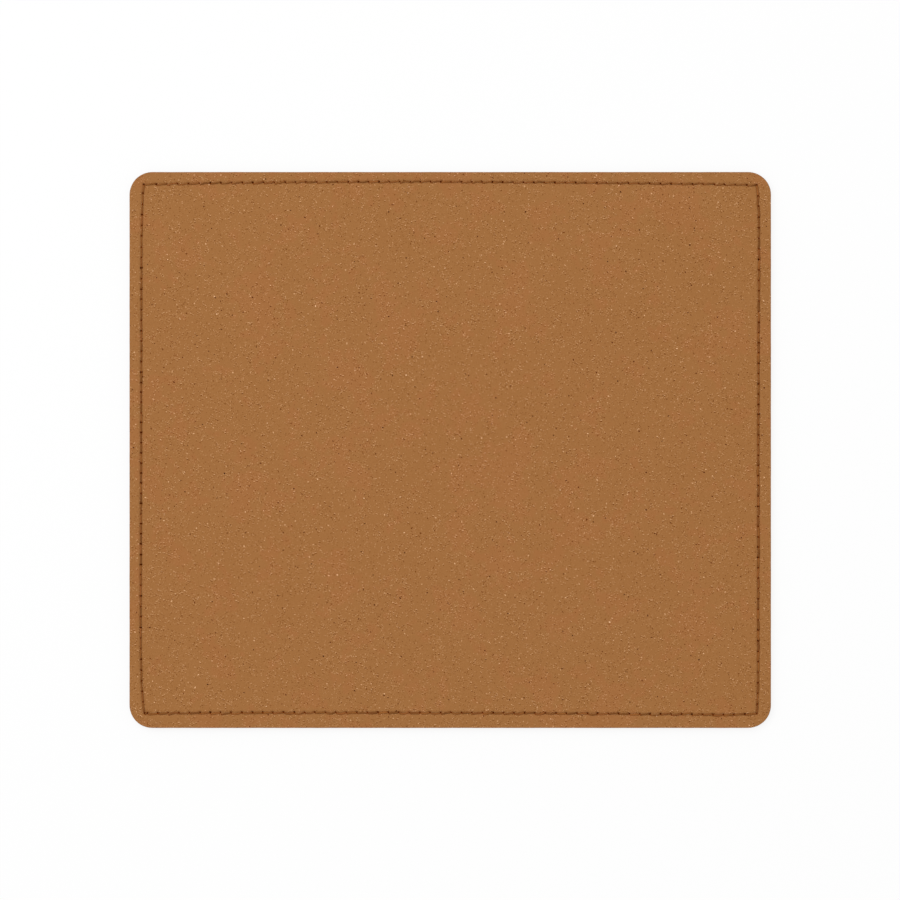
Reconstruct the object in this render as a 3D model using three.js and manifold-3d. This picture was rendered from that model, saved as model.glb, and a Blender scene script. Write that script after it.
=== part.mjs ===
// Mouse pad: a recycled-leather sheet lockstitched to a foam core round its border, on a bonded grip base.
// Units are millimetres. X runs across the pad, Y away from the user and Z up, and the pad lies on Z = 0
// with its centre on the Z axis.

import * as THREE from 'three';
import { mergeGeometries, mergeVertices } from 'three/addons/utils/BufferGeometryUtils.js';
import Module from 'manifold-3d';

// Outline
const PAD_WIDTH = 225;
const PAD_DEPTH = 195;
const CORNER_RADIUS = 8;

// Layers, from the desk up. The web is the foam left over the trench that the seam presses into the core.
const BASE_THICKNESS = 0.5;
const CORE_WEB = 0.42;
const LEATHER_THICKNESS = 1.0;
const GLUE_LINE = 0.05;

// Seam line: its distance from each edge at the corners, and how far each run bows out towards its edge.
// The ease is the distance from a corner over which a run swings out to its bow.
const SEAM_INSET_FRONT = 5.1;
const SEAM_INSET_RIGHT = 5.0;
const SEAM_INSET_BACK = 4.4;
const SEAM_INSET_LEFT = 5.1;
const SEAM_BOW_FRONT = 0.1;
const SEAM_BOW_RIGHT = 0.65;
const SEAM_BOW_BACK = 1.05;
const SEAM_BOW_LEFT = 1.0;
const SEAM_EASE_ACROSS = 70;
const SEAM_EASE_DOWN = 20;

// Stitches and thread. The play is the room left round a thread, and between two threads that cross. The
// groove is pressed into the leather's face by the stitches, and its walls lean out by the slope.
const STITCH_LENGTH_ACROSS = 3.7;
const STITCH_LENGTH_DOWN = 3.63;
const NEEDLE_THREAD = 0.45;
const BOBBIN_THREAD = 0.35;
const THREAD_PLAY = 0.06;
const GROOVE_DEPTH = 0.36;
const GROOVE_SLOPE = 0.6;

// Facets. A corner's arc has twice its steps, and a cutter runs past the face that it opens by the overrun.
const CORNER_STEPS = 4;
const RUN_STEPS = 6;
const THREAD_SIDES = 3;
const CUT_OVERRUN = 1;

// Heights of the faces and of the thread axes
const NEEDLE_RADIUS = NEEDLE_THREAD / 2;
const BOBBIN_RADIUS = BOBBIN_THREAD / 2;
const CORE_BOTTOM = BASE_THICKNESS + GLUE_LINE;
const LOOP_HEIGHT = CORE_BOTTOM + THREAD_PLAY + NEEDLE_RADIUS;
const BOBBIN_HEIGHT = LOOP_HEIGHT + NEEDLE_RADIUS + THREAD_PLAY + BOBBIN_RADIUS;
const TRENCH_TOP = BOBBIN_HEIGHT + BOBBIN_RADIUS + THREAD_PLAY;
const CORE_TOP = TRENCH_TOP + CORE_WEB;
const LEATHER_BOTTOM = CORE_TOP + GLUE_LINE;
const LEATHER_TOP = LEATHER_BOTTOM + LEATHER_THICKNESS;
const GROOVE_FLOOR = LEATHER_TOP - GROOVE_DEPTH;
const STITCH_HEIGHT = GROOVE_FLOOR + THREAD_PLAY + NEEDLE_RADIUS;

// Each needle hole takes the two legs of a loop, side by side on the hole's diagonal at the stitch and
// spread apart at the bobbin thread, which passes between them.
const LEG_OFFSET = (NEEDLE_THREAD + THREAD_PLAY) / 2 * Math.SQRT1_2;
const LEG_SPREAD = BOBBIN_RADIUS + THREAD_PLAY + NEEDLE_RADIUS;
const THREAD_ROOM = NEEDLE_RADIUS + THREAD_PLAY;
const HOLE_LENGTH = 2 * (LEG_OFFSET + THREAD_ROOM);
const LEATHER_HOLE_WIDTH = 2 * (legOffsetAt(LEATHER_BOTTOM) + THREAD_ROOM);
const CORE_HOLE_WIDTH = 2 * (legOffsetAt(TRENCH_TOP) + THREAD_ROOM);

const UP = new THREE.Vector3(0, 0, 1);
const DOWN = new THREE.Vector3(0, 0, -1);

/** Distance of a loop's legs from the seam line at a height, in a straight spread from stitch to bobbin. */
function legOffsetAt(height) {
  const share = (STITCH_HEIGHT - height) / (STITCH_HEIGHT - BOBBIN_HEIGHT);
  return LEG_OFFSET + (LEG_SPREAD - LEG_OFFSET) * share;
}

/** Half the width of a channel whose floor still holds a hole turned by 45 degrees at a corner. */
function channelHalfWidth(holeWidth) {
  return (HOLE_LENGTH + holeWidth) / 2 * Math.SQRT1_2 + THREAD_PLAY;
}

/** Unit vector from one point to another. */
function towards(from, to) {
  return to.clone().sub(from).normalize();
}

/** A geometry from a flat list of coordinates and a list of triangles. */
function indexedGeometry(coordinates, triangles) {
  const geometry = new THREE.BufferGeometry();
  geometry.setAttribute('position', new THREE.BufferAttribute(new Float32Array(coordinates), 3));
  geometry.setIndex(new THREE.BufferAttribute(new Uint32Array(triangles), 1));
  geometry.computeVertexNormals();
  return geometry;
}

const wasm = await Module();
wasm.setup();

/** A closed geometry as a solid that can be cut. */
function solidOf(geometry) {
  const bare = geometry.clone();
  bare.deleteAttribute('normal');
  bare.deleteAttribute('uv');
  const merged = mergeVertices(bare);
  return new wasm.Manifold(new wasm.Mesh({
    numProp: 3,
    vertProperties: new Float32Array(merged.attributes.position.array),
    triVerts: new Uint32Array(merged.index.array),
  }));
}

/** A blank with each cutter taken out of it. */
function cutFrom(blank, ...cutters) {
  const solid = cutters.reduce((rest, cutter) => rest.subtract(solidOf(cutter)), solidOf(blank));
  const { vertProperties, triVerts } = solid.getMesh();
  return indexedGeometry(vertProperties, triVerts);
}

/** The die-cut outline: a rectangle with round corners. */
function padOutline() {
  const x = PAD_WIDTH / 2 - CORNER_RADIUS;
  const y = PAD_DEPTH / 2 - CORNER_RADIUS;
  const quarter = Math.PI / 2;
  const shape = new THREE.Shape();
  [[x, y], [-x, y], [-x, -y], [x, -y]].forEach(([centreX, centreY], i) => {
    shape.absarc(centreX, centreY, CORNER_RADIUS, i * quarter, (i + 1) * quarter, false);
  });
  return shape;
}

/** One sheet of the laminate, between two heights. */
function sheet(bottom, top) {
  const settings = { depth: top - bottom, bevelEnabled: false, curveSegments: CORNER_STEPS };
  return new THREE.ExtrudeGeometry(padOutline(), settings).translate(0, 0, bottom);
}

/** The four runs of the seam, counter-clockwise from the front left corner, each a curve in the plane and
 *  a count of stitches. */
function seamRuns() {
  const left = -PAD_WIDTH / 2 + SEAM_INSET_LEFT;
  const right = PAD_WIDTH / 2 - SEAM_INSET_RIGHT;
  const front = -PAD_DEPTH / 2 + SEAM_INSET_FRONT;
  const back = PAD_DEPTH / 2 - SEAM_INSET_BACK;
  const corners = [[left, front], [right, front], [right, back], [left, back]];
  const bows = [SEAM_BOW_FRONT, SEAM_BOW_RIGHT, SEAM_BOW_BACK, SEAM_BOW_LEFT];
  return corners.map((corner, i) => {
    const across = i % 2 === 0;
    const ease = across ? SEAM_EASE_ACROSS : SEAM_EASE_DOWN;
    const pitch = across ? STITCH_LENGTH_ACROSS : STITCH_LENGTH_DOWN;
    const start = new THREE.Vector2(...corner);
    const end = new THREE.Vector2(...corners[(i + 1) % corners.length]);
    const along = towards(start, end);
    // A cubic curve reaches three quarters of its two handles' offset.
    const swing = new THREE.Vector2(along.y, -along.x).multiplyScalar(bows[i] * 4 / 3);
    const startHandle = start.clone().addScaledVector(along, ease).add(swing);
    const endHandle = end.clone().addScaledVector(along, -ease).add(swing);
    const curve = new THREE.CubicBezierCurve(start, startHandle, endHandle, end);
    return { curve, stitches: Math.round(curve.getLength() / pitch) };
  });
}

const runs = seamRuns();

/** The needle holes of each run: place, direction of sewing and the direction to its left, which is towards
 *  the middle. At a corner, which is the first hole of a run, the direction is halfway between two runs. */
function needleHoles() {
  return runs.map(({ curve, stitches }, run) => {
    const before = runs.at(run - 1).curve;
    return Array.from({ length: stitches }, (_, i) => {
      const place = curve.getPointAt(i / stitches);
      const along = curve.getTangentAt(i / stitches);
      if (i === 0) along.add(before.getTangentAt(1)).normalize();
      return {
        place: new THREE.Vector3(place.x, place.y, 0),
        along: new THREE.Vector3(along.x, along.y, 0),
        left: new THREE.Vector3(-along.y, along.x, 0),
      };
    });
  });
}

const holesOfRuns = needleHoles();
const holes = holesOfRuns.flat();

/** A channel along the whole seam: a profile of [distance to the left, height] pairs carried round the seam
 *  line and mitred at its points, which lie closest together where a run bends. */
function seamChannel(profile) {
  const line = runs.flatMap(({ curve }) => {
    return Array.from({ length: RUN_STEPS }, (_, i) => curve.getPoint(i / RUN_STEPS));
  });
  const count = line.length;
  const sides = profile.length;
  const coordinates = [];
  const triangles = [];
  line.forEach((point, i) => {
    const next = (i + 1) % count;
    const arriving = towards(line.at(i - 1), point);
    const leaving = towards(point, line[next]);
    const mitre = new THREE.Vector2(-arriving.y - leaving.y, arriving.x + leaving.x);
    mitre.divideScalar(1 + arriving.dot(leaving));
    profile.forEach(([offset, height], k) => {
      const after = (k + 1) % sides;
      const [here, hereAfter] = [i * sides + k, i * sides + after];
      const [there, thereAfter] = [next * sides + k, next * sides + after];
      coordinates.push(point.x + mitre.x * offset, point.y + mitre.y * offset, height);
      triangles.push(here, thereAfter, there, here, hereAfter, thereAfter);
    });
  });
  return indexedGeometry(coordinates, triangles);
}

/** One block for every needle hole, between two heights, turned along the seam. */
function holeCutters(width, bottom, top) {
  return mergeGeometries(holes.map(({ place, along }) => {
    const block = new THREE.BoxGeometry(HOLE_LENGTH, width, top - bottom);
    block.rotateZ(Math.atan2(along.y, along.x));
    return block.translate(place.x, place.y, (bottom + top) / 2);
  }));
}

/** The leather sheet, with the seam's groove pressed into its face and the needle holes through it. */
function leatherTop() {
  const floor = channelHalfWidth(LEATHER_HOLE_WIDTH);
  const rim = LEATHER_TOP + CUT_OVERRUN;
  const mouth = floor + (rim - GROOVE_FLOOR) * GROOVE_SLOPE;
  const groove = seamChannel([[-floor, GROOVE_FLOOR], [floor, GROOVE_FLOOR], [mouth, rim], [-mouth, rim]]);
  const pricks = holeCutters(LEATHER_HOLE_WIDTH, LEATHER_BOTTOM - CUT_OVERRUN, LEATHER_TOP);
  return cutFrom(sheet(LEATHER_BOTTOM, LEATHER_TOP), groove, pricks);
}

/** The foam sheet, with the trench that the loops and the bobbin thread press into its underside, and the
 *  needle holes above the trench. */
function foamCore() {
  const half = channelHalfWidth(CORE_HOLE_WIDTH);
  const below = CORE_BOTTOM - CUT_OVERRUN;
  const trench = seamChannel([[-half, below], [half, below], [half, TRENCH_TOP], [-half, TRENCH_TOP]]);
  const pricks = holeCutters(CORE_HOLE_WIDTH, BOBBIN_HEIGHT, CORE_TOP + CUT_OVERRUN);
  return cutFrom(sheet(CORE_BOTTOM, CORE_TOP), trench, pricks);
}

/** A ring of thread: a regular section square to one stretch, carried along that stretch to the plane where
 *  it meets another at a mitre. The turn counts the sides by which the section is turned on. */
function threadRing(centre, stretch, other, across, up, radius, turn) {
  const facing = stretch.clone().add(other);
  return Array.from({ length: THREAD_SIDES }, (_, k) => {
    const angle = Math.PI / 2 + 2 * Math.PI * (k + turn) / THREAD_SIDES;
    const spoke = across.clone().multiplyScalar(radius * Math.cos(angle));
    spoke.addScaledVector(up, radius * Math.sin(angle));
    spoke.addScaledVector(stretch, -spoke.dot(facing) / stretch.dot(facing));
    return spoke.add(centre);
  });
}

/** A capped tube through a list of rings. */
function threadTube(rings) {
  const coordinates = rings.flat().flatMap((point) => point.toArray());
  const triangles = [];
  for (let i = 0; i + 1 < rings.length; i += 1) {
    for (let k = 0; k < THREAD_SIDES; k += 1) {
      const here = i * THREAD_SIDES + k;
      const after = i * THREAD_SIDES + (k + 1) % THREAD_SIDES;
      triangles.push(here, after + THREAD_SIDES, here + THREAD_SIDES);
      triangles.push(here, after, after + THREAD_SIDES);
    }
  }
  const last = (rings.length - 1) * THREAD_SIDES;
  for (let k = 1; k + 1 < THREAD_SIDES; k += 1) {
    triangles.push(0, k + 1, k);
    triangles.push(last, last + k, last + k + 1);
  }
  return indexedGeometry(coordinates, triangles);
}

/** The loop of needle thread in one hole: in at the end of a stitch and down the left leg to its foot, under
 *  the bobbin thread to the other foot, and up the right leg and out to the next stitch. */
function loopAt({ place, along, left }) {
  const corner = (side, offset, height) => {
    const point = place.clone().addScaledVector(along, -side * LEG_OFFSET);
    return point.addScaledVector(left, side * offset).setZ(height);
  };
  const footOffset = legOffsetAt(LOOP_HEIGHT);
  const entry = corner(1, LEG_OFFSET, STITCH_HEIGHT);
  const entryFoot = corner(1, footOffset, LOOP_HEIGHT);
  const exitFoot = corner(-1, footOffset, LOOP_HEIGHT);
  const exit = corner(-1, LEG_OFFSET, STITCH_HEIGHT);
  return {
    along, entry, entryFoot, exitFoot, exit,
    fall: towards(entry, entryFoot),
    under: towards(entryFoot, exitFoot),
    rise: towards(exitFoot, exit),
  };
}

/** The needle thread: over the leather from hole to hole, with a loop in every hole. Its two ends are cut
 *  off at the feet of the legs in the first hole, at the front left corner. */
function needleThread() {
  const loops = holes.map(loopAt);
  const ring = (...settings) => threadRing(...settings.slice(0, 5), NEEDLE_RADIUS, settings[5]);
  // The section turns on by one side at each loop, so that every stitch shows the same ridge.
  return threadTube(loops.flatMap((from, i) => {
    const to = loops[(i + 1) % loops.length];
    const stitch = towards(from.exit, to.entry);
    const across = UP.clone().cross(stitch).normalize();
    return [
      ring(from.exitFoot, from.under, from.rise, DOWN, from.along, i - 1),
      ring(from.exit, stitch, from.rise, across, UP, i),
      ring(to.entry, stitch, to.fall, across, UP, i),
      ring(to.entryFoot, to.under, to.fall, DOWN, to.along, i),
    ];
  }));
}

/** The bobbin thread: along the seam under the core, through every loop, crossing each corner hole on the
 *  diagonal between the loop's legs. Its two ends stop halfway to the first hole. */
function bobbinThread() {
  const route = runs.flatMap(({ curve }, run) => {
    const [corner, ...others] = holesOfRuns[run];
    const crossing = [-LEG_SPREAD, LEG_SPREAD].map((reach) => {
      return corner.place.clone().addScaledVector(corner.along, reach);
    });
    const bends = Array.from({ length: RUN_STEPS - 1 }, (_, i) => curve.getPoint((i + 1) / RUN_STEPS));
    return [...crossing, others[0].place, ...bends, others.at(-1).place];
  });
  const [start, end] = [holes[1], holes.at(-1)].map(({ place }) => place.clone().lerp(holes[0].place, 0.5));
  route.splice(0, 2, start);
  route.push(end);
  const points = route.map(({ x, y }) => new THREE.Vector3(x, y, BOBBIN_HEIGHT));
  const stretches = points.slice(1).map((point, i) => towards(points[i], point));
  return threadTube(points.map((point, i) => {
    const arriving = stretches[Math.max(i - 1, 0)];
    const leaving = stretches[Math.min(i, stretches.length - 1)];
    return threadRing(point, arriving, leaving, UP.clone().cross(arriving), UP, BOBBIN_RADIUS, 0);
  }));
}

/** A piece of the pad under its own name. */
function piece(name, geometry, color, roughness) {
  const material = new THREE.MeshStandardMaterial({ color, roughness, metalness: 0, flatShading: true });
  const mesh = new THREE.Mesh(geometry, material);
  mesh.name = name;
  return mesh;
}

const mousePad = new THREE.Group();
mousePad.add(
  piece('grip_base', sheet(0, BASE_THICKNESS), 0x2a2725, 0.85),
  piece('foam_core', foamCore(), 0x3a2c22, 0.95),
  piece('leather_top', leatherTop(), 0xa36e41, 0.7),
  piece('needle_thread', needleThread(), 0x804c28, 0.65),
  piece('bobbin_thread', bobbinThread(), 0x804c28, 0.65),
);

export default mousePad;
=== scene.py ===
"""A mouse pad with a recycled-leather face, sewn round its border to a foam core, on a bonded grip base.

The pad lies on Z = 0 with its centre on the Z axis, X across it and Y away from the user. Lengths are metres.
Every sheet and thread is a surface worked out on a grid that follows the seam, stitch by stitch.
"""

from typing import NamedTuple

import bpy
import numpy as np
from bpy.props import FloatProperty, FloatVectorProperty, PointerProperty
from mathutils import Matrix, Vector


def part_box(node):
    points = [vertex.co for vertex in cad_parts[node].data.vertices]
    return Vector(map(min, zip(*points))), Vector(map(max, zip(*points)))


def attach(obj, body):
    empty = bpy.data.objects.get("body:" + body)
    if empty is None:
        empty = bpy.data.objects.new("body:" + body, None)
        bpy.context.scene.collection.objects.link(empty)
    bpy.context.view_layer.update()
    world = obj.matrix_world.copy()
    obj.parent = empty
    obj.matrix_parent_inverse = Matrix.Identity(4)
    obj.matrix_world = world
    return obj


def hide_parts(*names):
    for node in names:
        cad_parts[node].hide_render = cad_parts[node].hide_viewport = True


bl_info = {
    "name": "Stitched Mouse Pad",
    "version": (1, 0, 0),
    "blender": (4, 5, 0),
    "location": "View3D > Sidebar > Mouse Pad",
    "description": "Builds a leather mouse pad with a sewn border on its packed frame",
    "category": "Add Mesh",
}

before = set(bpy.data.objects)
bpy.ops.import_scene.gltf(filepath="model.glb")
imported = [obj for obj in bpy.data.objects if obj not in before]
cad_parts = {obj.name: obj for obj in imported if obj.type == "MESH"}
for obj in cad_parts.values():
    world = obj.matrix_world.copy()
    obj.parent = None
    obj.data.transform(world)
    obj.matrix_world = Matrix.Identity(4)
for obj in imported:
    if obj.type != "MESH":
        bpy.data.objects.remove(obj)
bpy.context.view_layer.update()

MM = 0.001
LEATHER_LOW, LEATHER_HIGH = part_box("leather_top")
CORE_LOW, CORE_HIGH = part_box("foam_core")
BASE_LOW, BASE_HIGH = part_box("grip_base")
NEEDLE_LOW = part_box("needle_thread")[0]
BOBBIN_LOW, BOBBIN_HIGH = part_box("bobbin_thread")

# Directions of the four runs of the seam, counter-clockwise from the front, and the way in from each.
TRAVEL = np.array([[1, 0], [0, 1], [-1, 0], [0, -1]], float)
INWARD = np.array([[0, 1], [-1, 0], [0, -1], [1, 0]], float)


class SeamRun(NamedTuple):
    """One side of the seam, in millimetres."""

    stitches: int
    start: tuple  # how far from the edge behind it and from the edge beside it the run begins
    bow: tuple  # how far it bows out near its start, at its middle and near its end
    ease: tuple  # the lengths over which it swings out at its two ends
    extra: tuple  # how much longer its first and last stitches are than the rest
    drift: float  # the share by which stitches are longer near its ends and shorter at its middle
    lay: tuple  # how far its first and last stitches lie in from their holes, at start, middle and end
    loose: float  # how far single stitches stray from that
    flat: float  # how many times as wide as high the thread is pressed
    pricked: float  # how many times as wide as usual the needle holes are


RUNS = (
    SeamRun(stitches=58, start=(5.30, 5.25), bow=(-0.15, -0.26, 0.55), ease=(10, 5),
            extra=(0.0, 0.65), drift=0.0, lay=((-0.53, -0.36, -0.18), (-0.35, -0.12, 0.02)),
            loose=0.19, flat=1.3, pricked=0.95),
    SeamRun(stitches=51, start=(5.08, 4.95), bow=(0.55, 0.58, 0.95), ease=(8, 6),
            extra=(-0.45, 0.14), drift=0.02, lay=((0.00, -0.01, -0.02), (0.04, 0.02, 0.03)),
            loose=0.13, flat=1.45, pricked=1.16),
    SeamRun(stitches=58, start=(4.98, 4.55), bow=(1.95, 2.40, 3.20), ease=(100, 100),
            extra=(-0.20, 0.56), drift=0.025, lay=((-0.19, 0.01, 0.27), (-0.12, 0.14, 0.49)),
            loose=0.15, flat=0.95, pricked=0.97),
    SeamRun(stitches=51, start=(4.38, 4.98), bow=(0.85, 1.05, 1.50), ease=(8, 9),
            extra=(-0.60, 0.10), drift=0.03, lay=((0.02, 0.04, 0.03), (-0.07, -0.06, -0.09)),
            loose=0.05, flat=1.05, pricked=1.2),
)
CLOSING_STITCH = 1.0 * MM  # the short first stitch of the front run, where the seam closes
PITCH_ERROR = 0.07 * MM  # deviation of holes from an even pitch
HOLE_SPREAD = (0.02, 0.32)  # mean and deviation of the holes' radii, as shares off the set one
HOLE_SPREAD_MOST = 0.45  # the most that one is off
MITRE_REACH = 1.2 * MM  # the least length over which lines beside the seam turn into a corner
LAY_FADE = 2.0 * MM  # how close to a corner the groove swings back to the holes
DIP_REACH = 0.7 * MM  # how far the dip at a hole reaches
LEG_SHIFT = 0.12 * MM  # from a hole's middle to a leg of its loop, along the seam
LEG_SHARE = 0.7  # thickness of a leg, as a share of the thread's
LOOP_PLAY = 0.03 * MM  # between a loop and the bobbin thread
TRENCH_PLAY = 0.06 * MM  # between the bobbin thread and the roof over it
STITCH_RISE = 0.45 * MM  # the most that a stitch takes to come up
STITCH_SWAY = 0.012 * MM  # deviation of the stitches' height
STITCH_SPREAD = 0.14  # deviation of the stitches' width, as a share
DRAW_LIMIT = 2  # the most deviations by which a stitch is off
BOBBIN_END = 0.4  # where the bobbin thread ends, as a share of a stitch from the first hole
EDGE_WAVES = ((23, 0), (57, 1), (131, 2))  # waves of a cut edge round the pad, and their phases
RAW_BORDER = 9.0 * MM  # the leather's cut edge lies this close to its outline
RAW_STEEP = 0.35  # and its normals rise less than this


class Fleck(NamedTuple):
    """One kind of fleck in the leather, one to a cell: the width of its cells and its own length and width in
    millimetres, the turn of its cells in radians, and its strength."""

    cell: float
    length: float
    width: float
    turn: float
    strength: float


FIBRES = (
    Fleck(cell=0.8, length=0.8, width=0.22, turn=0.4, strength=0.86),
    Fleck(cell=0.6, length=0.46, width=0.2, turn=1.2, strength=0.93),
    Fleck(cell=2.9, length=0.56, width=0.33, turn=1.9, strength=1.3),
)
SPECKS = (
    Fleck(cell=0.6, length=0.46, width=0.2, turn=2.7, strength=1.05),
    Fleck(cell=3.0, length=0.56, width=0.36, turn=3.6, strength=2.0),
)
FLECK_SPIN = 1.1  # the most that a fleck turns from across the pad, in radians
FLECK_AREAS = (0.35, 1.5)  # the least and the most of a fleck's area, as shares of its ellipse's
PATCH_TONE = 0.08  # how far broad patches lift the leather's tone
TONE_STRENGTH = 0.25  # how strongly the tone shifts the colour
DARKEST = (0.03, 0.03, 0.03)  # the darkest colour of the leather, as the eye sees it
SIGHT_GAMMA = 2.2  # from a colour as the eye sees it to its light
DUST_TONE = (0.9, 1.5)  # the least and the most of the dust on the base
PLIES = 3

# Lengths in materials, in millimetres
FIBRE_SHADE = (-0.05, 0.28, 0.0)  # from a long fibre to the shade beside it
HOLE_SHADE_FADE = (0.13, 0.02)  # from where to where painted shade darkens the leather at a hole's rim
THREAD_HOLE_SHADE_FADE = (0.42, 0.26)  # the same for the thread's painted shade, from a hole's middle
PLY_STEP = 0.55  # from ply to ply along a thread
EMBOSS_STEP = 2.1  # from wave to wave of the base's emboss
CLEAR_OF_HOLES = 9.0  # the distance given to points far from any hole

# Grids
SPAN_STEPS = 6  # samples of the even stretch of a stitch
RIM_POINTS = 16  # points round a needle hole
RIM_REACH = RIM_POINTS // 8  # steps of the grid from a hole out to them
BLOCK_SHARE = 0.7  # half the block of the grid round a hole, as a share of the hole's width
PLAIN_RING = 1.0 * MM  # the first ring beside the blocks of a plain face
INNER_RING = 5.0 * MM  # the innermost ring of every face
NEEDLE_SIDES = 8
BOBBIN_SIDES = 6

# The studio, in metres
WHITE = (1, 1, 1, 1)
FLOOR_COLOUR = (0.97, 0.97, 0.97, 1)
FLOOR_HALF = 3.0
KEY_SIZE = 1.4
KEY_PLACE = Vector((-0.45, 0.45, 1.6))


def size(name, description, millimetres):
    """A length that can be set, with its default in millimetres."""
    return FloatProperty(name=name, description=description, default=millimetres * MM, unit="LENGTH")


def tint(name, description, default):
    """A colour that can be set."""
    return FloatVectorProperty(name=name, description=description, default=default, size=3, subtype="COLOR")


class PadSizes(bpy.types.PropertyGroup):
    """Sizes of the sheets."""

    corner_radius: size("Corner radius", "Radius of the die-cut corners", 8)
    leather_edge: size("Leather edge", "Rounding of the leather's upper edge", 0.16)
    sheet_edge: size("Sheet edge", "Rounding of the other cut edges", 0.06)
    cut_wander: size("Cut wander", "How far the cut edges wander", 0.02)
    core_hollow: size("Core hollow", "How far the core's cut edge draws in", 0.09)


class SeamSizes(bpy.types.PropertyGroup):
    """Sizes of the seam and its threads."""

    needle_thread: size("Needle thread", "Thickness of the upper thread", 0.48)
    bobbin_thread: size("Bobbin thread", "Thickness of the lower thread", 0.35)
    hole: size("Needle hole", "Width of the needle holes", 0.5)
    groove_depth: size("Groove depth", "How deep the stitches press in", 0.3)
    groove_width: size("Groove width", "Half the width of the groove", 0.48)
    hole_dip: size("Hole dip", "How far each hole draws the leather down", 0.14)
    shoulder: size("Shoulder", "Height of the leather raised beside the seam", 0.03)
    trench_width: size("Trench width", "Half the width of the trench under the core", 0.87)


class PadColours(bpy.types.PropertyGroup):
    """Colours of the leather, the threads and the sheets."""

    leather_olive: tint("Leather, olive", "Ground of the leather", (0.364, 0.1572, 0.0488))
    leather_red: tint("Leather, red", "Redder clouds in the leather", (0.375, 0.1538, 0.0488))
    leather_cut: tint("Leather, cut", "Cut edge of the leather", (0.365, 0.156, 0.048))
    leather_layers: tint("Leather, layers", "Darker layers of the cut edge", (0.19, 0.075, 0.025))
    # Painted shade in the needle holes, on the leather's rims and on the thread where it dives in
    hole_shade: tint("Prick", "Inside of the needle holes", (0.23, 0.04, 0.0))
    thread: tint("Thread", "Brown sewing thread", (0.268, 0.096, 0.022))
    thread_red: tint("Thread, red", "Redder stretches of the thread", (0.273, 0.091, 0.023))
    foam: tint("Foam", "Dense foam of the core", (0.042, 0.025, 0.016))
    # Painted shade inside the foam's opened cells
    foam_cell_shade: tint("Foam, cells", "Inside of the foam's cells", (0.014, 0.008, 0.005))
    grip: tint("Grip", "Non-slip base", (0.023, 0.02, 0.018))


class StudioSettings(bpy.types.PropertyGroup):
    """The camera, the light and the floor."""

    picture_width: size("Picture width", "Width that the picture shows at the leather", 315.67)
    camera_height: size("Camera height", "Height of the camera over the leather", 1600)
    camera_shift: size("Camera place", "Place of the camera across the pad", -0.09)
    key_power: FloatProperty(name="Key light", description="Power of the light", default=17.0, unit="POWER")
    sky_level: FloatProperty(name="Sky", description="Level of the light from all round", default=0.55)
    floor_white: FloatProperty(
        name="Floor white", description="Share that shows plain white", default=0.85, subtype="FACTOR"
    )


def run_values(name, run):
    """One of the seam's values for each of an array of runs."""
    return np.array([getattr(one, name) for one in RUNS])[run]


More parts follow.
